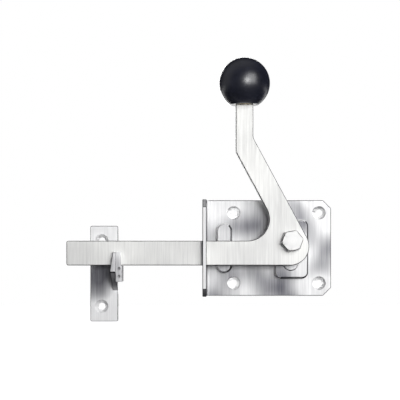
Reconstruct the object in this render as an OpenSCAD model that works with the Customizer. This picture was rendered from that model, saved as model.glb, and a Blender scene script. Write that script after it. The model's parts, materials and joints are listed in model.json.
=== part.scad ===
// Vertical lever bolt: a folded and pressed mounting plate, a cranked lever with a ball
// knob that turns on a hexagon bolt, and a separate strike plate whose hook holds the bar.
// The frame: X runs to the right, Z up, and the fixing surface is Y = 0, with the bolt in
// front of it towards -Y. The origin is the centre of the mounting plate's four holes.

/* [Mounting plate] */
// Width of the mounting plate, over its folded guide flange
plate_w = 128; // [124:1:150]
// Height of the mounting plate
plate_h = 95; // [90:1:120]
// Thickness of the sheet
plate_t = 4; // [3:0.5:5]
// Size of the cut corners at the free end of the plate
plate_corner = 8; // [2:0.5:11]
// Outer radius of the fold between the plate and its flange
fold_r = 6; // [5:0.5:9]
// How far the guide flange stands out from the fixing surface
flange_reach = 32; // [31:0.5:45]
// Size of the cut corners of the guide flange
flange_corner = 8; // [2:0.5:11]
// Distance between the screw holes along the width
screw_span_x = 85; // [80:1:95]
// Distance between the screw holes along the height
screw_span_z = 70; // [66:1:76]
// Diameter of the screw holes
screw_d = 7; // [5:0.5:9]
// Diameter of the countersinks for the screw heads
sink_d = 13; // [11:0.5:14]
// Distance from the right pair of holes to the free end of the plate
plate_end = 12; // [10:0.5:16]

/* [Raised areas] */
// Distance from the pivot to the platform's right edge
platform_reach = 17.5; // [16.5:0.5:20]
// Height of the platform under the pivot
platform_h = 58; // [56:1:64]
// Corner radius of the platform
platform_r = 6; // [5:0.5:10]
// How far the platform stands above the plate
platform_rise = 8; // [8:0.25:10]
// How far the middle of the platform lies below the pivot
platform_drop = 8; // [5:0.5:9]
// Width of the two rubbing pads
pad_w = 15; // [14:0.5:20]
// Height of the two rubbing pads
pad_h = 49; // [40:1:52]
// How far the pads stand above the plate
pad_rise = 10; // [10:0.25:11.5]
// How far the pad on the platform reaches below the pivot
pad_reach = 29.5; // [24:0.5:33]
// Distance from the guide flange to the middle of the pad beside it
guide_pad_x = 17.5; // [15:0.5:20]

/* [Lever] */
// Thickness of the lever
lever_t = 10; // [8:0.5:12]
// Height of the bar
bar_h = 24; // [20:0.5:28]
// Distance from the pivot to the free end of the bar
bar_reach = 219.5; // [200:1:260]
// Radius of the corners at the free end of the bar
bar_end_r = 2; // [1:0.5:4]
// Radius of the heel round the pivot
heel_r = 18.5; // [17:0.5:22]
// How far the middle of the heel lies to the left of the pivot
heel_set = 1.5; // [0:0.5:3]
// Lean of the arm from the vertical
arm_angle = 28.3; // [24:0.1:32]
// Width of the leaning arm
arm_w = 21.5; // [18:0.5:25]
// Radius of the inside corner between the bar and the arm
elbow_r = 21; // [10:0.5:24]
// Width of the upright neck below the knob
neck_w = 17; // [15:0.5:20]
// How far the middle of the neck lies to the left of the pivot
neck_set = 46; // [42:0.5:50]
// Height of the neck's shoulder above the pivot
neck_rise = 133; // [125:1:150]
// Diameter of the threaded spigot on the neck
spigot_d = 10; // [8:0.5:12]
// Length of the threaded spigot
spigot_l = 19; // [14:0.5:20]
// Angle that the lever turns through from its resting place
lift_angle = 16; // [10:0.5:17]

/* [Pivot] */
// Distance of the pivot to the right of the middle of the screw holes
pivot_x = 13.5; // [11:0.5:15]
// Height of the pivot above the middle of the screw holes
pivot_z = 7; // [4:0.5:10]
// Diameter of the pivot bolt
bolt_d = 12; // [10:0.5:12.5]
// Width across the flats of the bolt's head
head_af = 19; // [18:0.5:21]
// Height of the bolt's head
head_h = 7.5; // [6:0.25:9]
// Turn of the bolt's head
head_turn = -10; // [-30:1:30]
// Outer diameter of the bush that the lever turns on
bush_d = 16; // [15:0.25:17]
// Outer diameter of the toothed lock washer
washer_d = 20.5; // [18:0.5:21.5]
// Thickness of the toothed lock washer
washer_t = 1; // [0.5:0.1:1.25]
// Number of teeth round the lock washer
washer_teeth = 12; // [8:1:16]
// Width across the flats of the thin nut
nut_af = 19; // [17:0.5:20]
// Height of the thin nut
nut_h = 6; // [5:0.1:6.2]

/* [Knob] */
// Diameter of the ball knob
knob_d = 50; // [45:1:55]
// How much the flat takes off the ball knob's height
knob_cut = 4; // [2:0.5:6]
// Outer diameter of the threaded insert
insert_d = 18; // [15:0.5:20]
// Length of the threaded insert
insert_l = 22; // [21:0.5:26]

/* [Strike] */
// Width of the strike plate
strike_w = 27.5; // [25:0.5:36]
// Height of the strike plate
strike_h = 95; // [90:1:120]
// Thickness of the strike's sheet
strike_t = 5; // [4:0.5:6]
// Distance from the pivot to the strike's folded edge
strike_x = 171; // [140:1:185]
// Height of the strike's top edge above the bar
strike_top = 15; // [10:0.5:20]
// Distance between the strike's screw holes
strike_span = 65; // [60:1:75]
// How far the hook's nose stands out from the fixing surface
hook_reach = 34; // [33:0.5:40]
// Height of the hook's peak above the bar's lower edge
hook_catch = 13.5; // [8:0.5:18]
// Distance from the hook's nose to the bar's lower edge
hook_nose_drop = 6; // [4:0.5:10]
// Distance from the hook's foot to the bar's lower edge
hook_foot_drop = 28; // [20:0.5:34]
// Height of the hook's root behind the bar, over the bar's lower edge
hook_root = 20; // [14:0.5:23]
// Width of the lug that the bar rests on
lug_w = 6; // [5.5:0.25:10]
// Height of the lug below the bar
lug_h = 15.5; // [12:0.5:20]
// Thickness of the lug's lip in front of the bar
lip_t = 4; // [3:0.25:5]
// Width of the lug's lip in front of the bar
lip_w = 5; // [3:0.25:5.5]
// Diameter of the two small holes in the lug
lug_hole_d = 2.5; // [1.5:0.25:3]
// Distance between the two small holes in the lug
lug_hole_span = 7.5; // [5:0.25:9]

/* [Clearances] */
// Gap between pieces that slide or rest on each other
run_gap = 0.3; // [0.3:0.05:0.5]
// Radial gap of the turning fit and of threads
fit_gap = 0.05; // [0.03:0.01:0.09]
// Room beside the lock washer in the hollow behind the platform
hollow_room = 1.25; // [0.5:0.25:3]
// Gap in front of, behind and above the bar in its guides
slot_gap = 1; // [0.6:0.1:1.5]

/* [Hidden] */
$fn = 96;
// Small overlap that keeps cuts clear of the faces they open
cut = 1;

// Depths in front of the fixing surface
pad_front = plate_t + pad_rise;
lever_back = pad_front + run_gap;
lever_front = lever_back + lever_t;
lever_mid = lever_back + lever_t / 2;
bush_l = lever_t + 2 * run_gap;
head_back = pad_front + bush_l;
nut_back = platform_rise - washer_t - nut_h;
bolt_tail = nut_back - 0.5;
guide_back = lever_back - slot_gap;
guide_front = lever_front + slot_gap;

// Places across the front
platform_left = max(washer_d, nut_af) / 2 + hollow_room + plate_t;
platform_w = platform_left + platform_reach;
plate_right = screw_span_x / 2 + plate_end;
plate_left = plate_right - plate_w;
flange_in = plate_left + plate_t;
bar_left = pivot_x - bar_reach;
bar_top = pivot_z;
bar_low = bar_top - bar_h;
slot_low = bar_low - run_gap;
slot_top = pivot_z + (pivot_x - plate_left) * tan(lift_angle) + slot_gap;
neck_x = pivot_x - neck_set;
neck_top = pivot_z + neck_rise;
knob_z = neck_top + knob_d / 2 - knob_cut;

// The lever's heel and the two edges of its leaning arm
heel = [pivot_x - heel_set, bar_low + heel_r];
arm_out = [cos(arm_angle), sin(arm_angle)];
arm_up = [-sin(arm_angle), cos(arm_angle)];
arm_right = heel + heel_r * arm_out;
arm_left = arm_right - arm_w * arm_out;
neck_right_x = neck_x + neck_w / 2;
neck_left_x = neck_x - neck_w / 2;
arm_right_top = arm_right + arm_up * (arm_right[0] - neck_right_x) / sin(arm_angle);
arm_left_top = arm_left + arm_up * (arm_left[0] - neck_left_x) / sin(arm_angle);

// The inside corner of the elbow, its arc's centre and where the arc meets both edges
elbow = arm_left + arm_up * (bar_top - arm_left[1]) / cos(arm_angle);
elbow_run = elbow_r / tan((90 - arm_angle) / 2);
elbow_mid = elbow + [-elbow_run, elbow_r];
elbow_on_bar = elbow + [-elbow_run, 0];
elbow_on_arm = elbow + elbow_run * arm_up;

// Places on the strike
strike_right = pivot_x - strike_x;
strike_left = strike_right - strike_w;
strike_z = bar_top + strike_top - strike_h / 2;
strike_hole_x = (strike_left + strike_right - strike_t) / 2;
hook_left = strike_right - strike_t;
hook_peak = slot_low + hook_catch;
hook_nose = slot_low - hook_nose_drop;
hook_foot = slot_low - hook_foot_drop;
lip_front = guide_front + lip_t;
lug_low = slot_low - lug_h;
lug_back = lever_back - lip_t;

// Turns an outline drawn in X and Z into a sheet from depth d, of thickness t
module front_sheet(d, t) {
    translate([0, -d, 0]) rotate([90, 0, 0]) linear_extrude(t) children();
}

// Turns an outline drawn in depth and Z into a sheet from x leftwards, of thickness t
module side_sheet(x, t) {
    translate([x, 0, 0]) rotate([90, 0, -90]) linear_extrude(t) children();
}

// A round bar along Y from depth d, of length l
module front_rod(diameter, d, l, end_diameter = undef) {
    last = is_undef(end_diameter) ? diameter : end_diameter;
    translate([0, -d, 0]) rotate([90, 0, 0]) cylinder(d1 = diameter, d2 = last, h = l);
}

module round_rect(w, h, r) {
    square([w - 2 * r, h], center = true);
    square([w, h - 2 * r], center = true);
    for (x = [-1, 1], z = [-1, 1]) {
        translate([x * (w / 2 - r), z * (h / 2 - r)]) circle(r);
    }
}

module at_pivot() {
    translate([pivot_x, 0, pivot_z]) children();
}

// The hole of a countersunk screw, at a right angle, through a sheet of thickness t
module screw_hole(t) {
    sink = (sink_d - screw_d) / 2;
    front_rod(screw_d, -cut, t + 2 * cut);
    front_rod(screw_d, t - sink, sink, sink_d);
    front_rod(sink_d, t, cut);
}

// The area that a pressing covers, less border all round
module platform_area(border) {
    centre = [pivot_x + (platform_reach - platform_left) / 2, pivot_z - platform_drop];
    translate(centre)
        round_rect(platform_w - 2 * border, platform_h - 2 * border, platform_r - border);
}

module pad_area(x, z, border) {
    translate([x, z])
        round_rect(pad_w - 2 * border, pad_h - 2 * border, pad_w / 2 - border - 0.01);
}

module pads(border) {
    pad_area(flange_in + guide_pad_x, 0, border);
    pad_area(pivot_x, pivot_z - pad_reach + pad_h / 2, border);
}

// The fold as it is seen from above, before it is raised to the plate's height
module fold_outline() {
    difference() {
        union() {
            translate([plate_left + fold_r, 0]) square([plate_w - fold_r, plate_t]);
            translate([plate_left, fold_r]) square([plate_t, flange_reach - fold_r]);
            translate([plate_left + fold_r, fold_r]) circle(fold_r);
        }
        translate([plate_left + fold_r, fold_r]) circle(fold_r - plate_t);
        translate([flange_in, fold_r]) square([plate_w, fold_r]);
        translate([plate_left + fold_r, plate_t]) square([plate_w, fold_r]);
    }
}

module base_plate() {
    color("lightgray")
    difference() {
        union() {
            translate([0, 0, -plate_h / 2]) mirror([0, 1, 0])
                linear_extrude(plate_h) fold_outline();
            front_sheet(plate_t - cut, platform_rise + cut) platform_area(0);
            front_sheet(plate_t - cut, pad_rise + cut) pads(0);
        }
        front_sheet(-cut, platform_rise + cut) platform_area(plate_t);
        front_sheet(-cut, pad_rise + cut) pads(plate_t);
        at_pivot() front_rod(bolt_d + 2 * fit_gap, -cut, pad_front + 2 * cut);
        for (x = [-1, 1], z = [-1, 1]) {
            translate([x * screw_span_x / 2, 0, z * screw_span_z / 2]) screw_hole(plate_t);
        }
        for (z = [0, 1]) {
            mirror([0, 0, z]) front_sheet(-cut, plate_t + 2 * cut)
                polygon([[plate_right - plate_corner, plate_h / 2],
                         [plate_right, plate_h / 2 - plate_corner],
                         [plate_right + cut, plate_h / 2 - plate_corner],
                         [plate_right + cut, plate_h / 2 + cut],
                         [plate_right - plate_corner, plate_h / 2 + cut]]);
            mirror([0, 0, z]) side_sheet(flange_in + cut, plate_t + 2 * cut)
                polygon([[flange_reach - flange_corner, plate_h / 2],
                         [flange_reach, plate_h / 2 - flange_corner],
                         [flange_reach + cut, plate_h / 2 - flange_corner],
                         [flange_reach + cut, plate_h / 2 + cut],
                         [flange_reach - flange_corner, plate_h / 2 + cut]]);
        }
        translate([plate_left - cut, -guide_front, slot_low])
            cube([plate_t + 2 * cut, guide_front - guide_back, slot_top - slot_low]);
    }
}

// A hexagon whose corners are turned off at its outer face, from depth d forwards
module hexagon(af, h, d, turn, bevel_front, bevel_back) {
    corner_r = af / sqrt(3);
    intersection() {
        translate([0, -d, 0]) rotate([90, turn, 0]) cylinder(r = corner_r, h = h, $fn = 6);
        union() {
            front_rod(2 * corner_r + 1, d + bevel_back, h - bevel_back - bevel_front);
            front_rod(af - 1, d, bevel_back, 2 * corner_r + 1);
            front_rod(2 * corner_r + 1, d + h - bevel_front, bevel_front, af - 1);
        }
    }
}

module pivot_bolt() {
    end_bevel = 1;
    color("gainsboro")
    at_pivot() {
        hexagon(head_af, head_h, head_back, head_turn, 1.5, 0.3);
        front_rod(bolt_d, bolt_tail + end_bevel, head_back - bolt_tail - end_bevel + 0.1);
        front_rod(bolt_d - 2 * end_bevel, bolt_tail, end_bevel, bolt_d);
    }
}

module pivot_bush() {
    color("goldenrod")
    at_pivot() difference() {
        front_rod(bush_d, pad_front, bush_l);
        front_rod(bolt_d + 2 * fit_gap, pad_front - cut, bush_l + 2 * cut);
    }
}

module lock_washer() {
    tooth_gap = 1.2;
    tooth_l = 2;
    color("silver")
    at_pivot() difference() {
        front_rod(washer_d, platform_rise - washer_t, washer_t);
        front_rod(bolt_d + 4 * fit_gap, platform_rise - washer_t - cut, washer_t + 2 * cut);
        for (k = [0 : washer_teeth - 1]) {
            rotate([0, k * 360 / washer_teeth, 0])
                translate([washer_d / 2 - tooth_l, -platform_rise - cut, -tooth_gap / 2])
                    cube([tooth_l + cut, washer_t + 2 * cut, tooth_gap]);
        }
    }
}

module thin_nut() {
    color("silver")
    at_pivot() difference() {
        hexagon(nut_af, nut_h, nut_back, 30, 0.8, 0.8);
        front_rod(bolt_d + 2 * fit_gap, nut_back - cut, nut_h + 2 * cut);
    }
}

// The hook's outline from the side: depth first, then height
module hook_outline() {
    slope = 1.5;
    polygon([
        [0, hook_foot],
        [hook_reach - slope, hook_nose - slope],
        [hook_reach, hook_nose],
        [lip_front, hook_peak - slope],
        [lip_front - slope, hook_peak],
        [guide_front, hook_peak],
        [guide_front, slot_low],
        [guide_back, slot_low],
        [guide_back, slot_low + hook_root - 6],
        [strike_t, slot_low + hook_root],
        [0, slot_low + hook_root]
    ]);
}

module strike_plate() {
    lean = 2;
    root_h = slot_low + hook_root - hook_foot;
    color("lightgray")
    difference() {
        union() {
            translate([(strike_left + strike_right) / 2, 0, strike_z])
                front_sheet(0, strike_t) round_rect(strike_w, strike_h, 1.5);
            side_sheet(strike_right, strike_t) hook_outline();
        }
        for (z = [-1, 1]) {
            translate([strike_hole_x, 0, strike_z + z * strike_span / 2])
                screw_hole(strike_t);
        }
        // The rounded outside of the fold behind the hook
        translate([strike_right - fold_r, -fold_r, hook_foot]) difference() {
            cube([fold_r + cut, fold_r + cut, root_h]);
            translate([0, 0, -cut]) cylinder(r = fold_r, h = root_h + 2 * cut);
        }
        // The hook's tip leans to the right above the nose
        front_sheet(guide_front, hook_reach) polygon([
            [hook_left - cut, hook_peak - 12],
            [hook_left, hook_peak - 12],
            [hook_left + lean, hook_peak + 0.5],
            [hook_left - cut, hook_peak + 0.5]
        ]);
    }
}

module rest_lug() {
    hole_z = slot_low - 2.5;
    hole_x = strike_right + lip_w / 2 + 0.8;
    hole_l = 4;
    color("lightgray")
    difference() {
        union() {
            side_sheet(strike_right + lug_w, lug_w) polygon([
                [lug_back, lug_low],
                [lip_front, lug_low],
                [lip_front, slot_low],
                [lug_back, slot_low]
            ]);
            side_sheet(strike_right + lip_w, lip_w) polygon([
                [guide_front, slot_low - cut],
                [lip_front, slot_low - cut],
                [lip_front, hook_peak],
                [guide_front, hook_peak]
            ]);
        }
        for (k = [0, 1]) {
            translate([hole_x, 0, hole_z - k * lug_hole_span])
                front_rod(lug_hole_d, lip_front - hole_l, hole_l + cut);
        }
    }
}

// The lever's outline from the front
module lever_outline() {
    lap = 2;
    translate([bar_left, bar_low]) {
        translate([bar_end_r, 0]) square([heel[0] - bar_left - bar_end_r, bar_h]);
        translate([0, bar_end_r]) square([2 * bar_end_r, bar_h - 2 * bar_end_r]);
        for (z = [bar_end_r, bar_h - bar_end_r]) translate([bar_end_r, z]) circle(bar_end_r);
    }
    translate(heel) circle(heel_r);
    polygon([
        arm_left, arm_right, arm_right_top,
        [neck_right_x, neck_top], [neck_left_x, neck_top], arm_left_top
    ]);
    difference() {
        polygon([
            elbow_on_bar, elbow_on_bar + [0, -lap], elbow + [lap, -lap],
            elbow_on_arm + lap * arm_out, elbow_on_arm, elbow_mid
        ]);
        translate(elbow_mid) circle(elbow_r);
    }
}

module lever() {
    thread_bevel = 1;
    color("gainsboro") {
        difference() {
            front_sheet(lever_back, lever_t) lever_outline();
            at_pivot() front_rod(bush_d + 2 * fit_gap, lever_back - cut, lever_t + 2 * cut);
        }
        translate([neck_x, -lever_mid, neck_top]) {
            translate([0, 0, -0.1]) cylinder(d = spigot_d, h = spigot_l - thread_bevel + 0.1);
            translate([0, 0, spigot_l - thread_bevel])
                cylinder(d1 = spigot_d, d2 = spigot_d - 2 * thread_bevel, h = thread_bevel);
        }
    }
}

module knob_insert() {
    color("darkkhaki")
    translate([neck_x, -lever_mid, neck_top]) difference() {
        cylinder(d = insert_d, h = insert_l);
        translate([0, 0, -cut]) cylinder(d = spigot_d + 2 * fit_gap, h = spigot_l + cut + 0.5);
    }
}

module ball_knob() {
    flat_z = knob_cut - knob_d / 2;
    color("midnightblue")
    translate([neck_x, -lever_mid, knob_z]) difference() {
        sphere(d = knob_d);
        translate([0, 0, flat_z - knob_d / 2]) cube([knob_d, knob_d, knob_d], center = true);
        translate([0, 0, flat_z - cut]) cylinder(d = insert_d + 2 * fit_gap, h = insert_l + cut + fit_gap);
    }
}

base_plate();
pivot_bolt();
pivot_bush();
lock_washer();
thin_nut();
strike_plate();
rest_lug();
lever();
knob_insert();
ball_knob();
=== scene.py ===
# Looks of a vertical lever bolt: a folded and pressed mounting plate, a cranked lever with a
# ball knob on a hexagon bolt, and a strike plate whose hook holds the bar. Lengths are written
# in millimetres and multiplied by MM. X runs right, Z up, and the fixing surface is Y = 0 with
# the bolt in front of it, so a depth of 10 mm lies at Y = -10 mm.
import json
import math

import bmesh
import bpy
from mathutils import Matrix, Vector


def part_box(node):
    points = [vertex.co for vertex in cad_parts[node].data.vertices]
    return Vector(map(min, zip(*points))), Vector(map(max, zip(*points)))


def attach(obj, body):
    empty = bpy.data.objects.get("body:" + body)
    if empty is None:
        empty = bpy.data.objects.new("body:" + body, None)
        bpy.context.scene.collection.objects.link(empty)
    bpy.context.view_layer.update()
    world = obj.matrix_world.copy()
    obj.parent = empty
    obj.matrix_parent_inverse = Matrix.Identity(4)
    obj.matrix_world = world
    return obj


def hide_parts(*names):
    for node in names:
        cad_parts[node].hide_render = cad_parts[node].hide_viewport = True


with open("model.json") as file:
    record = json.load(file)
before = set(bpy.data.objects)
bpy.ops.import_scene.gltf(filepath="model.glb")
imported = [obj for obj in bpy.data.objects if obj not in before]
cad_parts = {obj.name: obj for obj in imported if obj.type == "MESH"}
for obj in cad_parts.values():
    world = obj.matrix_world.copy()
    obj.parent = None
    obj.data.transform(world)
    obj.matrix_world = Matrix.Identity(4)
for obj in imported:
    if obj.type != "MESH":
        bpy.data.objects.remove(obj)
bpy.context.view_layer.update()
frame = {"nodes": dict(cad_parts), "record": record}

MM = 0.001
X = Vector((1, 0, 0))
Y = Vector((0, 1, 0))
Z = Vector((0, 0, 1))
FRONT = -Y

# Points this close are one point, and an arc has a point every few degrees
weld_gap = 0.0005 * MM
arc_degrees = 4

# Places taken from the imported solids
plate_low, plate_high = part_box("base_plate")
lever_low, lever_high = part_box("lever")
bush_low, bush_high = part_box("pivot_bush")
bolt_low, bolt_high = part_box("pivot_bolt")
strike_low, strike_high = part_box("strike_plate")
lug_low, lug_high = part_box("rest_lug")
knob_low, knob_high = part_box("ball_knob")
insert_low, insert_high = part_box("knob_insert")
pivot = (bush_low + bush_high) / 2
knob_middle = (knob_low + knob_high) / 2

# Mounting plate
plate_t = 4 * MM
fold_r = 6 * MM
corner_cut = 8 * MM
platform_rise = 8 * MM
platform_left = 15.5 * MM  # from the pivot to its left edge
platform_reach = 17.5 * MM  # from the pivot to its right edge
platform_h = 58 * MM
platform_r = 6 * MM
platform_drop = 8 * MM  # how far its middle lies below the pivot
pad_w = 15 * MM
pad_h = 49 * MM
pad_rise = 10 * MM
pad_reach = 29.5 * MM  # from the pivot down to the end of the pivot's pad
guide_pad_x = 17.5 * MM  # from the flange to the middle of the guide pad
screw_d = 7 * MM
sink_d = 13 * MM
bolt_d = 12 * MM
flange_in = plate_low.x + plate_t
platform_w = platform_left + platform_reach
platform_middle = Vector((
    pivot.x + (platform_reach - platform_left) / 2, 0, pivot.z - platform_drop))
pivot_pad = Vector((pivot.x, 0, pivot.z - pad_reach + pad_h / 2))
guide_pad = Vector((flange_in + guide_pad_x, 0, 0))
screws = next(m for m in frame["record"]["mounts"] if m["name"] == "base_screws")["dims"]
screw_places = [
    X * side * screws["spacing_x_mm"] * MM + Z * rise * screws["spacing_y_mm"] * MM
    for side in (-0.5, 0.5) for rise in (-0.5, 0.5)
]

# Lever
bar_h = 24 * MM
arm_angle = math.radians(28.3)
arm_w = 21.5 * MM
heel_r = 18.5 * MM
heel_set = 1.5 * MM  # how far the heel's middle lies left of the pivot
elbow_r = 21 * MM
bend_r = 9 * MM
neck_w = 17 * MM
neck_top = knob_low.z
bar_low = lever_low.z
bar_top = bar_low + bar_h
lever_front = lever_low.y
lever_back = lever_high.y
lever_t = lever_back - lever_front

# Gaps round the bar, as in the solids
run_gap = 0.3 * MM
fit_gap = 0.05 * MM
slot_gap = 1 * MM
slot_low = bar_low - run_gap
slot_back = lever_back + slot_gap
slot_front = lever_front - slot_gap
lift_angle = math.radians(16)
slot_top = bar_top + (pivot.x - plate_low.x) * math.tan(lift_angle) + slot_gap

# Strike and lug
strike_t = 5 * MM
strike_span = 65 * MM
hook_root = 20 * MM  # the hook's top above the bar's rest
hook_foot_drop = 28 * MM  # the hook's foot below the bar's rest
hook_nose_drop = 6 * MM  # the hook's foremost point below the bar's rest
hook_foot = slot_low - hook_foot_drop
hook_top = slot_low + hook_root
lip_w = 5 * MM
lug_hole_d = 2.5 * MM
lug_hole_span = 7.5 * MM


# Working by hand

def drop_selection():
    bpy.ops.object.select_all(action="DESELECT")


def leave_edit():
    if bpy.context.object and bpy.context.object.mode == "EDIT":
        bpy.ops.object.mode_set(mode="OBJECT")


def take(piece):
    """Leaves edit mode and makes this piece the one that is worked on."""
    leave_edit()
    drop_selection()
    piece.select_set(True)
    bpy.context.view_layer.objects.active = piece


def pick(kind, test):
    """Selects the vertices, edges or faces, and only those, that the test accepts."""
    bpy.ops.mesh.select_mode(type=kind)
    bpy.ops.mesh.select_all(action="DESELECT")
    mesh = bmesh.from_edit_mesh(bpy.context.object.data)
    for part in {"VERT": mesh.verts, "EDGE": mesh.edges, "FACE": mesh.faces}[kind]:
        if test(part):
            part.select_set(True)
    bmesh.update_edit_mesh(bpy.context.object.data)


def lies_at(edge, axis, *levels):
    """Whether both ends of an edge lie at one of these levels along an axis."""
    room = 0.01 * MM
    ends = [vertex.co.dot(axis) for vertex in edge.verts]
    return any(all(abs(end - level) < room for end in ends) for level in levels)


def close_shell():
    """Merges doubled points and turns every face outwards."""
    bpy.ops.mesh.select_mode(type="VERT")
    bpy.ops.mesh.select_all(action="SELECT")
    bpy.ops.mesh.remove_doubles(threshold=weld_gap)
    bpy.ops.mesh.normals_make_consistent(inside=False)


def bevel_selected(radius, segments):
    bpy.ops.mesh.bevel(
        offset=radius, offset_type="OFFSET", segments=segments, profile=0.5,
        affect="EDGES", clamp_overlap=False,
    )


def round_edges(test, radius, segments=3):
    """Bevels the edges that the test accepts."""
    pick("EDGE", test)
    bevel_selected(radius, segments)


def round_sharp_edges(radius, angle=40, segments=2):
    """Bevels every edge at which the faces turn by more than this angle in degrees."""
    bpy.ops.mesh.select_mode(type="EDGE")
    bpy.ops.mesh.select_all(action="DESELECT")
    bpy.ops.mesh.edges_select_sharp(sharpness=math.radians(angle))
    bevel_selected(radius, segments)


class Pen:
    """Draws a line point by point, as with extrude and spin in edit mode."""

    def __init__(self, name, start):
        leave_edit()
        drop_selection()
        bpy.ops.mesh.primitive_plane_add(size=MM)
        self.piece = bpy.context.object
        self.piece.name = name
        bpy.ops.object.mode_set(mode="EDIT")
        bpy.ops.mesh.select_mode(type="VERT")
        bpy.ops.mesh.select_all(action="SELECT")
        bpy.ops.mesh.merge(type="CENTER")
        bpy.ops.transform.translate(value=start)
        self.at = start.copy()

    def to(self, point):
        shortest = 0.001 * MM
        step = point - self.at
        if step.length > shortest:
            bpy.ops.mesh.extrude_region_move(TRANSFORM_OT_translate={"value": step})
            self.at = point.copy()

    def arc(self, middle, angle, axis, end):
        steps = max(3, round(math.degrees(abs(angle)) / arc_degrees))
        # Spin turns against the right hand, so the axis is given the other way round
        bpy.ops.mesh.spin(steps=steps, angle=angle, center=middle, axis=-axis)
        self.at = end.copy()


def draw_outline(name, corners, axis):
    """A closed flat line through corners, each a point and the radius that rounds it."""
    straight = 0.01
    points = [point for point, radius in corners]
    start = (points[-1] + points[0]) / 2
    pen = Pen(name, start)
    for k, (point, radius) in enumerate(corners):
        following = points[(k + 1) % len(points)]
        towards = (point - points[k - 1]).normalized()
        onwards = (following - point).normalized()
        turn = towards.angle(onwards)
        if radius <= 0 or turn < straight:
            pen.to(point)
            continue
        side = 1 if towards.cross(onwards).dot(axis) > 0 else -1
        run = radius * math.tan(turn / 2)
        pen.to(point - towards * run)
        middle = pen.at + axis.cross(towards) * radius * side
        pen.arc(middle, turn, axis * side, point + onwards * run)
    pen.to(start)
    bpy.ops.mesh.select_all(action="SELECT")
    bpy.ops.mesh.remove_doubles(threshold=weld_gap)
    bpy.ops.mesh.select_all(action="SELECT")
    bpy.ops.mesh.edge_face_add()
    return pen.piece


def thicken(step):
    """Extrudes the flat outline that was drawn last into a solid."""
    bpy.ops.mesh.select_all(action="SELECT")
    bpy.ops.mesh.extrude_region_move(TRANSFORM_OT_translate={"value": step})
    close_shell()


def turn_form(name, foot, profile, axis=FRONT, steps=72):
    """Turns a profile, a list of radius and height along the axis, into a round solid."""
    side = X if abs(axis.x) < 0.5 else Z
    places = [foot + side * radius + axis * height for radius, height in profile]
    pen = Pen(name, places[0])
    for place in places[1:]:
        pen.to(place)
    bpy.ops.mesh.select_all(action="SELECT")
    bpy.ops.mesh.spin(steps=steps, angle=2 * math.pi, center=foot, axis=axis)
    close_shell()
    return pen.piece


def combine(piece, tool, operation):
    """Joins, cuts or trims a piece with another one, which is used up."""
    take(piece)
    change = piece.modifiers.new("combine", "BOOLEAN")
    change.object = tool
    change.operation = operation
    change.solver = "EXACT"
    bpy.ops.object.modifier_apply(modifier=change.name)
    bpy.data.objects.remove(tool)


def finish_faces(piece):
    """Clears slivers away, and shades rounded edges smooth beside flat faces that stay flat."""
    sliver_w = 0.004 * MM
    shortest = 0.002 * MM
    smooth_angle = math.radians(32)
    take(piece)
    bpy.ops.object.mode_set(mode="EDIT")
    bpy.ops.mesh.select_mode(type="VERT")
    bpy.ops.mesh.select_all(action="SELECT")
    bpy.ops.mesh.remove_doubles(threshold=sliver_w)
    bpy.ops.mesh.dissolve_degenerate(threshold=shortest)
    bpy.ops.object.mode_set(mode="OBJECT")
    bpy.ops.object.shade_smooth_by_angle(angle=smooth_angle)
    weights = piece.modifiers.new("weights", "WEIGHTED_NORMAL")
    weights.mode = "FACE_AREA"
    weights.keep_sharp = True
    bpy.ops.object.modifier_apply(modifier=weights.name)


def paint_faces(piece, material, test, among=lambda face: True):
    """Gives the faces whose middle and normal the test accepts a finish of their own."""
    take(piece)
    piece.data.materials.append(material)
    bpy.ops.object.mode_set(mode="EDIT")
    pick("FACE", lambda face: among(face) and test(face.calc_center_median(), face.normal))
    piece.active_material_index = len(piece.data.materials) - 1
    bpy.ops.object.material_slot_assign()
    bpy.ops.object.mode_set(mode="OBJECT")


def is_broken_edge(face):
    """Whether a face is narrow and leans away from every axis."""
    widest = 1.1 * MM
    square_on = 0.985
    narrow = 2 * face.calc_area() / face.calc_perimeter() < widest
    return narrow and max(abs(part) for part in face.normal) < square_on


def paint_shade_on_edges(piece, material, test):
    """Paints shade on the narrow broken edges that the test accepts, with a nearly black material."""
    paint_faces(piece, material, test, among=is_broken_edge)


def paint_sinks(piece, material, places, t):
    """Gives the turned cones of the countersinks in a sheet of thickness t their finish."""
    reach = sink_d / 2 + 0.2 * MM
    front = -t - 0.1 * MM
    paint_faces(piece, material, lambda at, normal: 0.5 < -normal.y < 0.9 and front < at.y < 0
                and any((at - place).xz.length < reach for place in places))


def mounted(piece, body, node, material):
    """Gives a finished piece its body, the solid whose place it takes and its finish."""
    piece.data.materials.clear()
    piece.data.materials.append(material)
    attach(piece, body)
    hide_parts(node)


# Mounting plate

def rounded_rectangle(middle, w, h, radius):
    """The corners of a rounded rectangle that faces forwards."""
    return [
        (middle + X * side * w / 2 + Z * rise * h / 2, radius)
        for side, rise in ((-1, -1), (1, -1), (1, 1), (-1, 1))
    ]


def face_forwards():
    """Turns the one face of a new outline to the front."""
    mesh = bmesh.from_edit_mesh(bpy.context.object.data)
    mesh.faces.ensure_lookup_table()
    if mesh.faces[0].normal.y > 0:
        bpy.ops.mesh.flip_normals()


def quarter_turn(steps):
    """The first and last angle of each step of a quarter turn."""
    return [(math.pi / 2 * k / steps, math.pi / 2 * (k + 1) / steps) for k in range(steps)]


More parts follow.
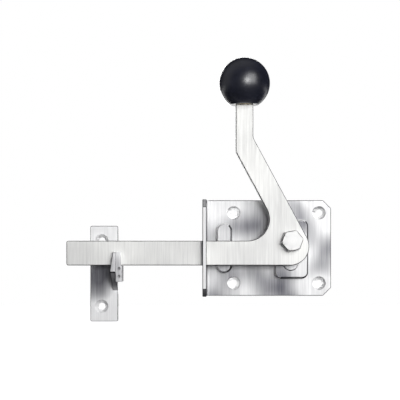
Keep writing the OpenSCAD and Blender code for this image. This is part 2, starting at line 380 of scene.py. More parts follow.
def pressing(name, middle, w, h, radius, start, rise, foot_r, shoulder_r, draft=0):
    """A raised area from depth start, with a flared foot, a leaning wall and a round shoulder."""
    sunk = 0.4 * MM
    proud = 0.02 * MM
    steps = 5
    base = Vector((middle.x, -(start - sunk), middle.z))
    corners = rounded_rectangle(base, w + 2 * foot_r, h + 2 * foot_r, radius + foot_r)
    piece = draw_outline(name, corners, FRONT)
    face_forwards()
    bpy.ops.mesh.extrude_region_move(TRANSFORM_OT_translate={"value": FRONT * (sunk + proud)})
    for first, last in quarter_turn(steps):
        bpy.ops.mesh.inset(
            thickness=foot_r * (math.sin(last) - math.sin(first)),
            depth=foot_r * (math.cos(first) - math.cos(last)),
        )
    bpy.ops.mesh.inset(thickness=draft, depth=rise - foot_r - shoulder_r - proud)
    for first, last in quarter_turn(steps):
        bpy.ops.mesh.inset(
            thickness=shoulder_r * (math.cos(first) - math.cos(last)),
            depth=shoulder_r * (math.sin(last) - math.sin(first)),
        )
    close_shell()
    return piece


def screw_hole(place, t):
    """The cutter of a countersunk hole with softened rims, through a sheet of thickness t."""
    lip = 0.3 * MM
    over = 1 * MM
    hole_r = screw_d / 2
    sink_r = sink_d / 2
    return turn_form("screw_hole", place, [
        (0, -over), (hole_r + lip + over, -over), (hole_r, lip), (hole_r, t - sink_r + hole_r),
        (sink_r - lip / 2, t - lip / 2), (sink_r + lip, t), (sink_r + lip, t + over), (0, t + over),
    ])


def fold_sheet():
    """The folded sheet with its four cut corners, two at the free end and two on the flange."""
    rim = 0.65 * MM
    back = Vector((0, 0, plate_low.z))
    reach = plate_low.y
    piece = draw_outline("base_plate_folded", [
        (back + X * plate_high.x, 0),
        (back + X * plate_low.x, fold_r),
        (back + X * plate_low.x + Y * reach, 0),
        (back + X * flange_in + Y * reach, 0),
        (back + X * flange_in - Y * plate_t, fold_r - plate_t),
        (back + X * plate_high.x - Y * plate_t, 0),
    ], Z)
    thicken(Z * (plate_high.z - plate_low.z))
    for up in (1, -1):
        height = plate_high.z * up
        for place, slope in (
            (Vector((plate_high.x - corner_cut, 0, height)), X + Z * up),
            (Vector((plate_low.x, reach + corner_cut, height)), FRONT + Z * up),
        ):
            bpy.ops.mesh.select_all(action="SELECT")
            bpy.ops.mesh.bisect(
                plane_co=place, plane_no=slope.normalized(), use_fill=True, clear_outer=True
            )
    close_shell()
    round_sharp_edges(rim)
    close_shell()
    return piece


def add_pressings(piece):
    """The platform under the pivot with its pad, and the pad beside the flange."""
    foot_r = 0.8 * MM
    shoulder_r = 1 * MM
    draft = 0.8 * MM
    # The pad on the platform stands out so little that its bends are smaller
    low_foot_r = 0.3 * MM
    low_shoulder_r = 0.6 * MM
    low_draft = 0.6 * MM
    for form in (
        ("platform", platform_middle, platform_w, platform_h, platform_r,
         plate_t, platform_rise, foot_r, shoulder_r, draft),
        ("pivot_pad", pivot_pad, pad_w, pad_h, pad_w / 2,
         plate_t + platform_rise, pad_rise - platform_rise, low_foot_r, low_shoulder_r, low_draft),
        ("guide_pad", guide_pad, pad_w, pad_h, pad_w / 2,
         plate_t, pad_rise, foot_r, shoulder_r, draft),
    ):
        combine(piece, pressing(*form), "UNION")


def cut_hollows(piece):
    """The hollows of the pressings, open towards the fixing surface."""
    lead = 1 * MM
    mouth_r = 1 * MM
    end_r = 0.8 * MM
    inside = 2 * plate_t
    for name, middle, w, h, radius, depth in (
        ("platform_hollow", platform_middle, platform_w, platform_h, platform_r, platform_rise),
        ("guide_hollow", guide_pad, pad_w, pad_h, pad_w / 2, pad_rise),
    ):
        combine(piece, pressing(
            name, middle, w - inside, h - inside, radius - plate_t,
            0, depth, mouth_r, end_r), "DIFFERENCE")
    # The pivot's pad is pressed deeper than the platform, so it has a shallow hollow of its own
    low_mouth_r = 0.3 * MM
    low_end_r = 0.4 * MM
    combine(piece, pressing(
        "pivot_hollow", pivot_pad, pad_w - inside, pad_h - inside, pad_w / 2 - plate_t,
        platform_rise - lead, pad_rise - platform_rise + lead, low_mouth_r, low_end_r), "DIFFERENCE")


def cut_bolt_bore(piece):
    """The pivot bolt's bore through the pad, with a softened rim in front."""
    lip = 0.3 * MM
    bore_r = bolt_d / 2 + fit_gap
    depth = plate_t + pad_rise
    combine(piece, turn_form("bolt_bore", Vector((pivot.x, 0, pivot.z)), [
        (0, -MM), (bore_r, -MM), (bore_r, depth - lip), (bore_r + lip, depth),
        (bore_r + lip, depth + MM), (0, depth + MM),
    ]), "DIFFERENCE")


def cut_guide_slot(piece):
    """The upright slot in the flange that guides the bar."""
    slot_r = 0.8 * MM
    edge = Vector((plate_low.x - MM, 0, 0))
    draw_outline("guide_slot", [
        (edge + Y * slot_back + Z * slot_low, slot_r),
        (edge + Y * slot_back + Z * slot_top, slot_r),
        (edge + Y * slot_front + Z * slot_top, slot_r),
        (edge + Y * slot_front + Z * slot_low, slot_r),
    ], X)
    thicken(X * (plate_t + 2 * MM))
    combine(piece, bpy.context.object, "DIFFERENCE")


def paint_base_plate(piece, edge_shade_material, sink_material, cut_and_lit_material):
    """Painted shade on the edges and on the bends facing right and down, painted light on the walls
    facing up and left and on the flange front, and bright countersinks.
    """
    border = 1.2 * MM
    leaning = 0.2
    cut_line = plate_high.x + plate_high.z - corner_cut - border
    platform_right = pivot.x + platform_reach - 3 * MM
    platform_foot = platform_middle.z - platform_h / 2 + 3 * MM
    guide_right = guide_pad.x + pad_w / 2 - 5 * MM

    # Painted shade: the sheet's outline, the flange's edges and the pressings' bends facing right and
    # down are made dark, as where light doesn't fall.
    def is_dark(at, normal):
        outline = at.y > -plate_t - 0.02 * MM and at.x > flange_in + fold_r and (
            at.x > plate_high.x - border or abs(at.z) > plate_high.z - border
            or at.x + abs(at.z) > cut_line)
        flange_edge = at.x < flange_in + 0.1 * MM and at.y < -fold_r - 0.5 * MM
        right_bend = normal.x > leaning and (
            at.x > platform_right or guide_right < at.x < guide_pad.x + pad_w)
        lower_right_bend = normal.z < -leaning and at.x > pivot.x - MM and at.z < platform_foot
        return outline or flange_edge or at.y < -plate_t and (right_bend or lower_right_bend)

    # Painted light: the pressings' walls facing up and left get the pale finish, as if lit.
    def is_pale(at, normal):
        upper_left = normal.x < -leaning or normal.z > max(leaning, 1.2 * normal.x)
        lower_left = (normal.z < -leaning and at.z < platform_foot
                      and guide_right + pad_w < at.x < pivot.x - MM)
        on_pressing = normal.y < -0.05 and at.y < -plate_t and at.x > flange_in + fold_r
        return on_pressing and (upper_left or lower_left)

    paint_shade_on_edges(piece, edge_shade_material, is_dark)
    paint_faces(piece, cut_and_lit_material, is_pale)
    paint_sinks(piece, sink_material, screw_places, plate_t)
    # Painted light: the flange's front cut face gets the pale finish, which keeps it white.
    paint_faces(piece, cut_and_lit_material, lambda at, normal: (
        normal.y < -0.95 and at.y < plate_low.y + 0.2 * MM))


def make_base_plate(material, edge_shade_material, sink_material, cut_and_lit_material):
    piece = fold_sheet()
    add_pressings(piece)
    cut_hollows(piece)
    cut_bolt_bore(piece)
    for place in screw_places:
        combine(piece, screw_hole(place, plate_t), "DIFFERENCE")
    cut_guide_slot(piece)
    finish_faces(piece)
    mounted(piece, "mounting", "base_plate", material)
    paint_base_plate(piece, edge_shade_material, sink_material, cut_and_lit_material)


# Lever

def make_lever(material, edge_shade_material):
    """The flat lever with its heel, cranked arm and neck, and the spigot for the knob."""
    rim = 1.1 * MM
    tip_r = 2 * MM
    out = X * math.cos(arm_angle) + Z * math.sin(arm_angle)
    up = Z * math.cos(arm_angle) - X * math.sin(arm_angle)
    heel = Vector((pivot.x - heel_set, lever_front, bar_low + heel_r))
    arm_right = heel + out * heel_r
    arm_left = arm_right - out * arm_w
    neck_x = knob_middle.x
    neck_right = neck_x + neck_w / 2
    neck_left = neck_x - neck_w / 2
    heel_corner = arm_right - up * (arm_right.z - bar_low) / up.z
    elbow_corner = arm_left + up * (bar_top - arm_left.z) / up.z
    right_bend = arm_right + up * (neck_right - arm_right.x) / up.x
    left_bend = arm_left + up * (neck_left - arm_left.x) / up.x
    face = Y * lever_front
    piece = draw_outline("lever_bar_and_arm", [
        (face + X * lever_low.x + Z * bar_low, tip_r),
        (heel_corner, heel_r),
        (right_bend, bend_r),
        (face + X * neck_right + Z * neck_top, 0),
        (face + X * neck_left + Z * neck_top, 0),
        (left_bend, bend_r),
        (elbow_corner, elbow_r),
        (face + X * lever_low.x + Z * bar_top, tip_r),
    ], FRONT)
    thicken(Y * lever_t)
    round_edges(lambda edge: lies_at(edge, Y, lever_front, lever_back), rim)
    close_shell()

    # The bore for the bush
    bore_r = (bush_high.x - bush_low.x) / 2 + fit_gap
    lip = 0.5 * MM
    combine(piece, turn_form("lever_bore", Vector((pivot.x, lever_back, pivot.z)), [
        (0, -MM), (bore_r + lip + MM, -MM), (bore_r, lip), (bore_r, lever_t - lip),
        (bore_r + lip + MM, lever_t + MM), (0, lever_t + MM),
    ]), "DIFFERENCE")

    # The spigot that the knob is screwed on
    spigot_r = 5 * MM
    spigot_l = lever_high.z - neck_top
    sunk = 2 * MM
    foot = Vector((neck_x, (lever_front + lever_back) / 2, neck_top))
    combine(piece, turn_form("spigot", foot, [
        (0, -sunk), (spigot_r, -sunk), (spigot_r, spigot_l - MM),
        (spigot_r - MM, spigot_l), (0, spigot_l),
    ], axis=Z, steps=48), "UNION")
    finish_faces(piece)
    mounted(piece, "lever_arm", "lever", material)
    # Painted shade: the lever's rounded edges get the nearly black material as a dark outline, except
    # round the spigot and the heel.
    heel_room = 14 * MM
    paint_shade_on_edges(piece, edge_shade_material, lambda at, normal: 0.1 < abs(normal.y) < 0.8
               and (at - foot).xz.length > 2 * spigot_r and (at - heel).xz.length > heel_room)


# Pivot bolt

def make_pivot_bolt(material, edge_shade_material):
    """The bolt with its turned hexagon head, and a shank through the bush, the plate and the nut."""
    head_af = 19 * MM
    head_turn = math.radians(10)
    head_back = bush_low.y
    head_h = head_back - bolt_low.y
    corner_r = head_af / math.sqrt(3)
    rim = 0.6 * MM
    middle = Vector((pivot.x, head_back, pivot.z))
    angles = [head_turn + k * math.pi / 3 for k in range(6)]
    piece = draw_outline("pivot_bolt_hexagon", [
        (middle + (X * math.cos(angle) + Z * math.sin(angle)) * corner_r, MM) for angle in angles
    ], FRONT)
    thicken(FRONT * head_h)
    round_edges(lambda edge: lies_at(edge, Y, bolt_low.y), rim, segments=1)
    close_shell()

    # The corners are turned off at the back and at the face, which keeps a flat round disc
    disc_r = head_af / 2 + 0.1 * MM
    past = corner_r + MM - disc_r
    back_slope = 0.5
    face_slope = math.tan(math.radians(25))
    back_rim = 0.3 * MM
    face_rim = 0.4 * MM
    face_drop = 0.15 * MM
    combine(piece, turn_form("head_turning", middle, [
        (0, 0), (disc_r + back_rim, 0), (disc_r + past, past * back_slope),
        (disc_r + past, head_h - past * face_slope), (disc_r, head_h - face_drop),
        (disc_r - face_rim, head_h), (0, head_h),
    ], steps=96), "INTERSECT")

    shank_r = bolt_d / 2
    length = bolt_high.y - head_back
    foot = Vector((pivot.x, bolt_high.y, pivot.z))
    combine(piece, turn_form("shank", foot, [
        (0, 0), (shank_r - MM, 0), (shank_r, MM), (shank_r, length + MM), (0, length + MM),
    ]), "UNION")
    finish_faces(piece)
    mounted(piece, "mounting", "pivot_bolt", material)
    # Painted shade: the head's rounded edges get the nearly black material as a dark outline.
    paint_shade_on_edges(piece, edge_shade_material, lambda at, normal: 0.2 < abs(normal.y) < 0.85
               and at.y < head_back - MM)


# Strike plate with its hook

def draw_hook(rim):
    """The hook seen from the side, which stands forwards at the strike's right edge."""
    slope = 1.5 * MM
    tip_r = 2 * MM
    lip_r = 1.2 * MM
    peak_r = 0.6 * MM
    throat_r = 0.5 * MM
    seat_r = 1 * MM
    root_drop = 6 * MM
    sunk = 0.02 * MM
    lip_front = lug_low.y
    nose = strike_low.y
    peak = lug_high.z
    web = X * (strike_high.x - sunk)
    inside = Y * -2 * MM
    nose_z = slot_low - hook_nose_drop
    draw_outline("hook", [
        (web + inside + Z * hook_top, 0),
        (web + inside + Z * (hook_foot + 2 * MM * (nose_z - hook_foot) / -nose), 0),
        (web + Y * nose + Z * nose_z, tip_r),
        (web + Y * lip_front + Z * (peak - slope / 2), lip_r),
        (web + Y * (lip_front + slope) + Z * peak, peak_r),
        (web + Y * slot_front + Z * peak, throat_r),
        (web + Y * slot_front + Z * slot_low, seat_r),
        (web + Y * slot_back + Z * slot_low, seat_r),
        (web + Y * slot_back + Z * (hook_top - root_drop), tip_r),
        (web - Y * strike_t + Z * hook_top, seat_r),
    ], X)
    thicken(-X * (strike_t - sunk))
    hook = bpy.context.object
    # The tip of the hook leans to the right
    lean = 2 * MM
    lean_h = 3 * MM
    pick("VERT", lambda v: v.co.x < strike_high.x - strike_t / 2 and v.co.z > peak - lean_h
         and v.co.y < slot_front + 0.2 * MM)
    bpy.ops.transform.translate(value=X * lean)
    round_sharp_edges(rim, angle=50)
    close_shell()
    return hook


def round_fold(piece):
    """Rounds the outside of the fold between the strike and its hook."""
    over = 0.5 * MM
    right = strike_high.x
    low = Z * (hook_foot - over)
    draw_outline("fold_outside", [
        (low + X * (right - fold_r) + Y * MM, 0),
        (low + X * (right - fold_r), 0),
        (low + X * right, fold_r),
        (low + X * right - Y * fold_r, 0),
        (low + X * (right + MM) - Y * fold_r, 0),
        (low + X * (right + MM) + Y * MM, 0),
    ], -Z)
    thicken(Z * (hook_top - hook_foot + 2 * over))
    combine(piece, bpy.context.object, "DIFFERENCE")


def make_strike_plate(material, edge_shade_material, sink_material):
    """The folded keeper: a flat strike with two screw holes and a hook that holds the bar."""
    rim = 0.5 * MM
    corner_r = 1.5 * MM
    left = strike_low.x
    right = strike_high.x
    middle = Vector(((left + right) / 2, 0, (strike_low.z + strike_high.z) / 2))
    strike_h = strike_high.z - strike_low.z
    piece = draw_outline(
        "strike_plate_with_hook", rounded_rectangle(middle, right - left, strike_h, corner_r), FRONT)
    thicken(FRONT * strike_t)
    round_edges(lambda edge: lies_at(edge, Y, 0, -strike_t), rim)
    close_shell()
    combine(piece, draw_hook(rim), "UNION")
    round_fold(piece)

    hole_x = (left + right - strike_t) / 2
    places = [Vector((hole_x, 0, middle.z + side * strike_span / 2)) for side in (-1, 1)]
    for place in places:
        combine(piece, screw_hole(place, strike_t), "DIFFERENCE")
    finish_faces(piece)
    mounted(piece, "mounting", "strike_plate", material)

    sink_room = 8 * MM
    sheet_front = -strike_t - 0.1 * MM
    leaning = 0.2

    # Painted shade: the sheet's rounded edges, and the hook's edges facing left or down, are made
    # dark, except beside the holes and on the fold.
    def is_dark(at, normal):
        beside_holes = all((at - place).xz.length > sink_room for place in places)
        on_sheet = at.y > sheet_front
        on_fold = on_sheet and at.x > right - fold_r and hook_foot < at.z < hook_top
        shaded = on_sheet or normal.x < -leaning or normal.z < -leaning
        return abs(normal.y) > leaning and beside_holes and not on_fold and shaded

    paint_shade_on_edges(piece, edge_shade_material, is_dark)
    paint_sinks(piece, sink_material, places, strike_t)


def make_rest_lug(material):
    """The lug under the bar, with a lip in front of it, both from one bar of metal."""
    front = lug_low.y
    left = lug_low.x
    right = lug_high.x
    rim = 0.5 * MM
    face = Y * front
    piece = draw_outline("rest_lug_with_lip", [
        (face + X * left + Z * lug_low.z, 0),
        (face + X * right + Z * lug_low.z, 0),
        (face + X * right + Z * slot_low, 0),
        (face + X * (left + lip_w) + Z * slot_low, 0),
        (face + X * (left + lip_w) + Z * lug_high.z, 0),
        (face + X * left + Z * lug_high.z, 0),
    ], FRONT)
    thicken(Y * (slot_front - front))
    bpy.ops.mesh.select_all(action="SELECT")
    bpy.ops.mesh.bisect(plane_co=Z * slot_low, plane_no=Z)
    pick("FACE", lambda f: f.normal.y > 0.9 and f.calc_center_median().z < slot_low)
    bpy.ops.mesh.extrude_region_move(
        TRANSFORM_OT_translate={"value": Y * (lug_high.y - slot_front)})
    close_shell()
    round_sharp_edges(rim, angle=50)
    close_shell()

    # Two small blind holes in the upright face
    hole_r = lug_hole_d / 2
    hole_depth = 4 * MM
    drill_tip = 0.7 * MM
    lip = 0.2 * MM
    hole_x = left + lip_w / 2 + 0.8 * MM
    hole_drop = 2.5 * MM
    for k in range(2):
        place = Vector((hole_x, front, slot_low - hole_drop - k * lug_hole_span))
        combine(piece, turn_form("lug_hole", place, [
            (0, -hole_depth - drill_tip), (hole_r, -hole_depth), (hole_r, -lip), (hole_r + lip, 0),
            (hole_r + lip, MM), (0, MM),
        ], steps=32), "DIFFERENCE")
    finish_faces(piece)
    mounted(piece, "mounting", "rest_lug", material)


# Ball knob

def make_ball_knob(material):
    """The ball with its flat underside and the hole for its metal insert."""
    knob_r = (knob_high.x - knob_low.x) / 2
    rim = 0.6 * MM
    middle = Vector((knob_middle.x, knob_middle.y, knob_high.z - knob_r))
    drop_selection()
    bpy.ops.mesh.primitive_uv_sphere_add(segments=128, ring_count=96, radius=knob_r, location=middle)
    piece = bpy.context.object
    piece.name = "ball_knob_moulded"
    bpy.ops.object.transform_apply(location=True, rotation=True, scale=True)
    bpy.ops.object.mode_set(mode="EDIT")
    bpy.ops.mesh.select_all(action="SELECT")
    bpy.ops.mesh.bisect(
        plane_co=Z * knob_low.z, plane_no=-Z, use_fill=True, clear_outer=True)
    round_edges(lambda edge: lies_at(edge, Z, knob_low.z), rim)
    close_shell()
    hole_r = (insert_high.x - insert_low.x) / 2 + fit_gap
    depth = insert_high.z - insert_low.z + fit_gap
    combine(piece, turn_form("insert_hole", Z * knob_low.z + X * middle.x + Y * middle.y, [
        (0, -MM), (hole_r, -MM), (hole_r, depth), (0, depth),
    ], axis=Z), "DIFFERENCE")
    finish_faces(piece)
    mounted(piece, "lever_arm", "ball_knob", material)


# Finishes

def new_group(name, inputs, outputs):
    """A node group with these inputs and outputs, and its two end nodes."""
    group = bpy.data.node_groups.new(name, "ShaderNodeTree")
    for socket, kind, value in inputs:
        made = group.interface.new_socket(name=socket, in_out="INPUT", socket_type=kind)
        made.default_value = value
    for socket, kind in outputs:
        group.interface.new_socket(name=socket, in_out="OUTPUT", socket_type=kind)
    start = group.nodes.new("NodeGroupInput")
    end = group.nodes.new("NodeGroupOutput")
    return group, start, end


class Wiring:
    """Short ways to add and join the nodes of one tree."""

    def __init__(self, tree):
        self.tree = tree

    def add(self, kind, **settings):
        node = self.tree.nodes.new("ShaderNode" + kind)
        for name, value in settings.items():
            setattr(node, name, value)
        return node

    def join(self, source, target):
        self.tree.links.new(source, target)

    def feed(self, target, value):
        if isinstance(value, bpy.types.NodeSocket):
            self.join(value, target)
        else:
            target.default_value = value

    def math(self, operation, a, b=0.0):
        node = self.add("Math", operation=operation)
        self.feed(node.inputs[0], a)
        self.feed(node.inputs[1], b)
        return node.outputs[0]

    def stretched_noise(self, place, stretch, detail, roughness=0.5, shift=(0, 0, 0)):
        """Noise on Object coordinates in metres, with so many cells to a metre each way."""
        mapping = self.add("Mapping")
        self.join(place, mapping.inputs["Vector"])
        self.feed(mapping.inputs["Location"], shift)
        mapping.inputs["Scale"].default_value = stretch
        noise = self.add("TexNoise")
        noise.inputs["Scale"].default_value = 1
        noise.inputs["Detail"].default_value = detail
        noise.inputs["Roughness"].default_value = roughness
        self.join(mapping.outputs[0], noise.inputs["Vector"])
        return noise.outputs["Fac"]

    def spread(self, value, low, high, new_low=0.0, new_high=1.0):
        """Carries the span from low to high over to the span from new_low to new_high."""
        node = self.add("MapRange")
        self.feed(node.inputs["Value"], value)
        node.inputs["From Min"].default_value = low
        node.inputs["From Max"].default_value = high
        self.feed(node.inputs["To Min"], new_low)
        self.feed(node.inputs["To Max"], new_high)
        return node.outputs["Result"]

    def mix(self, amount, a, b):
        node = self.add("Mix", data_type="RGBA")
        self.feed(node.inputs["Factor"], amount)
        self.feed(node.inputs[6], a)
        self.feed(node.inputs[7], b)
        return node.outputs[2]


def brushed_group():
    """Upright brush lines, fine and broad, over cloudy light and dark areas: random tone where faint,
    painted shade where strong and shifted to where shadows fall.
    """
    group, start, end = new_group("brushed_metal", [
        ("Light", "NodeSocketColor", (0.8, 0.8, 0.8, 1)),
        ("Dark", "NodeSocketColor", (0.6, 0.6, 0.6, 1)),
        ("Cloud", "NodeSocketFloat", 0.4),
        ("Lines", "NodeSocketFloat", 0.4),
        ("Smoothest", "NodeSocketFloat", 0.3),
        ("Roughest", "NodeSocketFloat", 0.5),
        ("Shift", "NodeSocketVector", (14.12, 0.1, 3.28)),
    ], [
        ("Color", "NodeSocketColor"), ("Roughness", "NodeSocketFloat"), ("Height", "NodeSocketFloat"),
    ])
    # How often each pattern repeats in a metre, across, deep and upwards
    fine_cells = (2600, 2600, 55)
    broad_cells = (620, 620, 14)
    cloud_cells = (26, 26, 22)
    wiring = Wiring(group)
    place = wiring.add("TexCoord").outputs["Object"]
    fine = wiring.stretched_noise(place, fine_cells, 2)
    broad = wiring.stretched_noise(place, broad_cells, 3)
    # The shift moves the clouds. On the plate and the strike their dark areas are painted shade, moved
    # to where shadows fall.
    cloud = wiring.stretched_noise(place, cloud_cells, 1, 0.4, start.outputs["Shift"])
    lines = wiring.math("ADD", wiring.math("MULTIPLY", fine, 0.5), wiring.math("MULTIPLY", broad, 0.5))
    line_mask = wiring.spread(lines, 0.36, 0.64)
    cloud_and_shade_mask = wiring.spread(cloud, 0.44, 0.74)
    shade = wiring.math(
        "ADD",
        wiring.math("MULTIPLY", line_mask, start.outputs["Lines"]),
        wiring.math("MULTIPLY", cloud_and_shade_mask, start.outputs["Cloud"]),
    )
    wiring.join(
        wiring.mix(shade, start.outputs["Light"], start.outputs["Dark"]), end.inputs["Color"])
    wiring.join(
        wiring.spread(line_mask, 0, 1, start.outputs["Smoothest"], start.outputs["Roughest"]),
        end.inputs["Roughness"])
    wiring.join(lines, end.inputs["Height"])
    return group


def turned_group():
    """Fine rings round an axis along Y, as a lathe leaves them, and cloudy areas."""
    group, start, end = new_group("turned_metal", [
        ("Light", "NodeSocketColor", (0.8, 0.8, 0.8, 1)),
        ("Dark", "NodeSocketColor", (0.6, 0.6, 0.6, 1)),
        ("Middle", "NodeSocketVector", (0, 0, 0)),
        ("Rings", "NodeSocketFloat", 0.4),
    ], [
        ("Color", "NodeSocketColor"), ("Roughness", "NodeSocketFloat"), ("Height", "NodeSocketFloat"),
    ])
    rings_a_metre = 2400
    cloud_cells = (140, 140, 140)
    smoothest = 0.56
    roughest = 0.62
    wiring = Wiring(group)
    place = wiring.add("TexCoord").outputs["Object"]
    offset = wiring.add("VectorMath", operation="SUBTRACT")
    wiring.join(place, offset.inputs[0])
    wiring.join(start.outputs["Middle"], offset.inputs[1])
    parts = wiring.add("SeparateXYZ")
    wiring.join(offset.outputs[0], parts.inputs[0])
    across = wiring.math("ADD", wiring.math("MULTIPLY", parts.outputs["X"], parts.outputs["X"]),
                         wiring.math("MULTIPLY", parts.outputs["Z"], parts.outputs["Z"]))
    radius = wiring.math("SQRT", across)
    rings_at = wiring.add("CombineXYZ")
    wiring.join(wiring.math("MULTIPLY", radius, rings_a_metre), rings_at.inputs["X"])
    wiring.join(wiring.math("MULTIPLY", parts.outputs["Y"], rings_a_metre), rings_at.inputs["Y"])
    rings = wiring.add("TexNoise")
    rings.inputs["Scale"].default_value = 1
    rings.inputs["Detail"].default_value = 2
    wiring.join(rings_at.outputs[0], rings.inputs["Vector"])
    cloud = wiring.stretched_noise(place, cloud_cells, 3)
    ring_mask = wiring.spread(rings.outputs["Fac"], 0.35, 0.65)
    shade = wiring.math("ADD", wiring.math("MULTIPLY", ring_mask, start.outputs["Rings"]),
                        wiring.spread(cloud, 0.35, 0.7, 0.0, 0.25))
    wiring.join(
        wiring.mix(shade, start.outputs["Light"], start.outputs["Dark"]), end.inputs["Color"])
    wiring.join(wiring.spread(ring_mask, 0, 1, smoothest, roughest), end.inputs["Roughness"])
    wiring.join(rings.outputs["Fac"], end.inputs["Height"])
    return group


def metal(name, group, bump, **values):
    """A metal whose colour, roughness and small relief come from a group."""
    material = bpy.data.materials.new(name)
    material.use_nodes = True
    wiring = Wiring(material.node_tree)
    shader = material.node_tree.nodes["Principled BSDF"]
    shader.inputs["Metallic"].default_value = 1
    finish = material.node_tree.nodes.new("ShaderNodeGroup")
    finish.node_tree = group
    for socket, value in values.items():
        finish.inputs[socket].default_value = value
    relief = wiring.add("Bump")
    relief.inputs["Strength"].default_value = bump
    relief.inputs["Distance"].default_value = 0.05 * MM
    wiring.join(finish.outputs["Color"], shader.inputs["Base Color"])
    wiring.join(finish.outputs["Roughness"], shader.inputs["Roughness"])
    wiring.join(finish.outputs["Height"], relief.inputs["Height"])
    wiring.join(relief.outputs["Normal"], shader.inputs["Normal"])
    return material


def knob_plastic():
    """Glossy blue-black moulding with a faint waviness and hairline rubbing marks."""
    deep = (0.0065, 0.0075, 0.014, 1)
    pale = (0.012, 0.0135, 0.024, 1)
    cloud_cells = (60, 60, 60)
    mark_cells = (900, 900, 220)
    smoothest = 0.28
    roughest = 0.36
    material = bpy.data.materials.new("knob_moulding")
    material.use_nodes = True
    wiring = Wiring(material.node_tree)
    shader = material.node_tree.nodes["Principled BSDF"]
    shader.inputs["Specular IOR Level"].default_value = 0.95
    place = wiring.add("TexCoord").outputs["Object"]
    cloud = wiring.stretched_noise(place, cloud_cells, 3)
    marks = wiring.stretched_noise(place, mark_cells, 4, 0.7)
    wiring.join(wiring.mix(wiring.spread(cloud, 0.3, 0.7), deep, pale), shader.inputs["Base Color"])
    wiring.join(wiring.spread(marks, 0.3, 0.75, smoothest, roughest), shader.inputs["Roughness"])
    relief = wiring.add("Bump")
    relief.inputs["Strength"].default_value = 0.05
    relief.inputs["Distance"].default_value = 0.1 * MM
    height = wiring.math("ADD", cloud, wiring.math("MULTIPLY", marks, 0.15))
    wiring.join(height, relief.inputs["Height"])
    wiring.join(relief.outputs["Normal"], shader.inputs["Normal"])
    return material


def keep_solid(node, material):
    """Gives a solid whose shape is right its finish."""
    shown = frame["nodes"][node]
    shown.data.materials.clear()
    shown.data.materials.append(material)


# Floor, light and camera

def seen_rays(wiring):
    """1 for what the lens, metal and glass see, and 0 for the light that falls on things."""
    light_path = wiring.add("LightPath")
    return wiring.math(
        "MAXIMUM", light_path.outputs["Is Camera Ray"],
        wiring.math("MAXIMUM", light_path.outputs["Is Glossy Ray"],
                    light_path.outputs["Is Transmission Ray"]))


def make_floor():
    """A pale floor below the bolt, which keeps its shadow and fades into the white far off."""
    width = 12000 * MM
    drop = 400 * MM
    # How far from the middle the floor's own glow starts and ends, in metres
    glow_from = 0.4
    glow_to = 1.6
    faintest = 0.15
    # From here to there behind the wall, reflections show the glow too
    behind_from = 0.3
    behind_to = 1.5
    drop_selection()
    bpy.ops.mesh.primitive_plane_add(size=width, location=(0, 0, plate_low.z - drop))
    floor = bpy.context.object
    floor.name = "floor"
    material = bpy.data.materials.new("pale_floor")
    material.use_nodes = True
    wiring = Wiring(material.node_tree)
    shader = material.node_tree.nodes["Principled BSDF"]
    shader.inputs["Base Color"].default_value = (0.82, 0.82, 0.82, 1)
    shader.inputs["Roughness"].default_value = 0.7
    shader.inputs["Emission Color"].default_value = (1, 1, 1, 1)
    place = wiring.add("TexCoord").outputs["Object"]
    length = wiring.add("VectorMath", operation="LENGTH")
    wiring.join(place, length.inputs[0])
    glow = wiring.spread(length.outputs["Value"], glow_from, glow_to, faintest, 1.0)
    parts = wiring.add("SeparateXYZ")
    wiring.join(place, parts.inputs[0])
    behind = wiring.spread(parts.outputs["Y"], behind_from, behind_to)
    light_path = wiring.add("LightPath")
    shown = wiring.math("MAXIMUM", light_path.outputs["Is Camera Ray"],
                        wiring.math("MULTIPLY", seen_rays(wiring), behind))
    wiring.join(wiring.math("MULTIPLY", shown, glow), shader.inputs["Emission Strength"])
    floor.data.materials.append(material)


def make_dark_card():
    """A black card in front of the bolt and below it, that the lens doesn't see."""
    width = 3000 * MM
    place = Vector((0, -600 * MM, -220 * MM))
    drop_selection()
    bpy.ops.mesh.primitive_plane_add(size=width, location=place)
    card = bpy.context.object
    card.name = "dark_card"
    material = bpy.data.materials.new("black_card")
    material.use_nodes = True
    shader = material.node_tree.nodes["Principled BSDF"]
    shader.inputs["Base Color"].default_value = (0.02, 0.02, 0.03, 1)
    shader.inputs["Roughness"].default_value = 1
    card.data.materials.append(material)
    card.visible_camera = False
    card.visible_diffuse = False
    card.visible_shadow = False
    card.visible_transmission = False


def soft_light(name, direction, size, watts):
    """A square lamp that shines on the bolt from this direction."""
    target = Vector((-60 * MM, 0, 40 * MM))
    distance = 2400 * MM
    place = target + direction * distance
    drop_selection()
    bpy.ops.object.light_add(type="AREA", location=place)
    lamp = bpy.context.object
    lamp.name = name
    lamp.rotation_euler = (target - place).to_track_quat("-Z", "Y").to_euler()
    lamp.visible_camera = False
    lamp.data.shape = "SQUARE"
    lamp.data.size = size
    lamp.data.energy = watts


def set_lights():
    """A wide lamp at the upper right, a smaller one beside the lens and one for the back."""
    soft_light("wide_light", Vector((0.48, -0.83, 0.28)), 1700 * MM, 32)
    soft_light("small_light", Vector((0.18, -0.975, 0.125)), 750 * MM, 20)
    soft_light("back_light", Vector((-0.1, 0.97, 0.22)), 1200 * MM, 42)


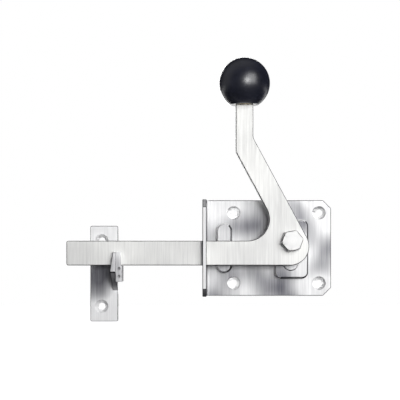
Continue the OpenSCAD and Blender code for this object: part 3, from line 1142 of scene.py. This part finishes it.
def set_world():
    """White behind the bolt, grey at its upper left side, and nearly black all round otherwise."""
    dark_tone = (0.03, 0.03, 0.04, 1)
    side_tone = (0.3, 0.3, 0.31, 1)
    front_tone = (0.06, 0.06, 0.065, 1)
    white_tone = (1, 1, 1, 1)
    world = bpy.data.worlds.new("studio")
    bpy.context.scene.world = world
    world.use_nodes = True
    wiring = Wiring(world.node_tree)
    background = world.node_tree.nodes["Background"]
    parts = wiring.add("SeparateXYZ")
    wiring.join(wiring.add("TexCoord").outputs["Generated"], parts.inputs[0])
    upper_left = wiring.math("SUBTRACT", parts.outputs["Z"], parts.outputs["X"])
    beside = wiring.spread(wiring.math("ABSOLUTE", parts.outputs["Y"]), 0.6, 0.25)
    side = wiring.math("MULTIPLY", wiring.spread(upper_left, 0.1, 0.9), beside)
    front = wiring.spread(parts.outputs["Y"], -0.5, -0.95)
    behind = wiring.spread(parts.outputs["Y"], 0.93, 0.97)
    light_path = wiring.add("LightPath")
    white = wiring.math("MAXIMUM", light_path.outputs["Is Camera Ray"],
                        wiring.math("MULTIPLY", behind, seen_rays(wiring)))
    tone = wiring.mix(side, dark_tone, side_tone)
    tone = wiring.mix(front, tone, front_tone)
    tone = wiring.mix(white, tone, white_tone)
    wiring.join(tone, background.inputs["Color"])
    background.inputs["Strength"].default_value = 1


def set_camera():
    """In front of the wall, level, as far off as the picture's perspective says."""
    distance = 900 * MM
    across = 400 * MM
    lens_x = -71 * MM
    # How far the picture's middle lies beside and above the lens, at the wall
    picture_x = -5 * MM
    picture_z = 48 * MM
    drop_selection()
    bpy.ops.object.camera_add(location=(lens_x, -distance, 0), rotation=(math.pi / 2, 0, 0))
    camera = bpy.context.object
    camera.name = "camera"
    camera.data.sensor_width = 36
    camera.data.lens = camera.data.sensor_width * distance / across
    camera.data.shift_x = picture_x / across
    camera.data.shift_y = picture_z / across
    camera.data.clip_start = 10 * MM
    bpy.context.scene.camera = camera


brushed = brushed_group()
turned = turned_group()
# The plate's strong dark clouds are painted shade, lying beside the arm where its shadow falls.
plate_finish = metal(
    "plate_brushed_painted_shade", brushed, 0.35, Light=(0.85, 0.85, 0.85, 1), Dark=(0.1, 0.1, 0.125, 1),
    Cloud=0.85, Lines=0.12, Smoothest=0.6, Roughest=0.68)
lever_finish = metal(
    "lever_brushed", brushed, 0.35, Light=(0.97, 0.97, 0.95, 1), Dark=(0.6, 0.6, 0.6, 1),
    Cloud=0.25, Lines=0.25, Smoothest=0.66, Roughest=0.74)
# The strike's dark clouds are painted shade, shifted to lie below the bar where its shadow falls.
strike_finish = metal(
    "strike_brushed_painted_shade", brushed, 0.35, Light=(0.97, 0.97, 0.97, 1), Dark=(0.16, 0.16, 0.18, 1),
    Cloud=0.9, Lines=0.12, Smoothest=0.64, Roughest=0.72, Shift=(-39.75, 0.13, 11.9))
sink_finish = metal(
    "countersinks", brushed, 0.35, Light=(0.97, 0.97, 0.97, 1), Dark=(0.85, 0.85, 0.85, 1),
    Cloud=0.1, Lines=0.2, Smoothest=0.3, Roughest=0.38)
# A pale finish for cut faces and the strike's countersinks, also used as painted light on lit walls
# and the flange front.
cut_and_lit_finish = metal(
    "cut_faces_and_painted_light", brushed, 0.35, Light=(0.97, 0.97, 0.97, 1), Dark=(0.85, 0.85, 0.85, 1),
    Cloud=0.1, Lines=0.2, Smoothest=0.72, Roughest=0.8)
# Painted shade: a nearly black material for dark outlines along the edges.
edge_shade = metal(
    "paint_shade_on_edges", brushed, 0.35, Light=(0.08, 0.08, 0.085, 1), Dark=(0.04, 0.04, 0.045, 1),
    Cloud=0.4, Lines=0.3, Smoothest=0.5, Roughest=0.6)
fastener_finish = metal(
    "fastener_turned", turned, 0.12, Light=(0.71, 0.71, 0.7, 1), Dark=(0.6, 0.6, 0.61, 1),
    Middle=pivot, Rings=0.15)
bronze_finish = metal(
    "bush_bronze", turned, 0.3, Light=(0.72, 0.5, 0.26, 1), Dark=(0.42, 0.26, 0.11, 1),
    Middle=pivot, Rings=0.5)
brass_finish = metal(
    "insert_brass", turned, 0.3, Light=(0.78, 0.64, 0.36, 1), Dark=(0.5, 0.37, 0.16, 1),
    Middle=knob_middle, Rings=0.5)

set_camera()
make_base_plate(plate_finish, edge_shade, sink_finish, cut_and_lit_finish)
make_lever(lever_finish, edge_shade)
make_pivot_bolt(fastener_finish, edge_shade)
make_strike_plate(strike_finish, edge_shade, cut_and_lit_finish)
make_rest_lug(strike_finish)
make_ball_knob(knob_plastic())
keep_solid("pivot_bush", bronze_finish)
keep_solid("lock_washer", fastener_finish)
keep_solid("thin_nut", fastener_finish)
keep_solid("knob_insert", brass_finish)

make_floor()
make_dark_card()
set_world()
set_lights()
bpy.context.scene.view_settings.view_transform = "Standard"
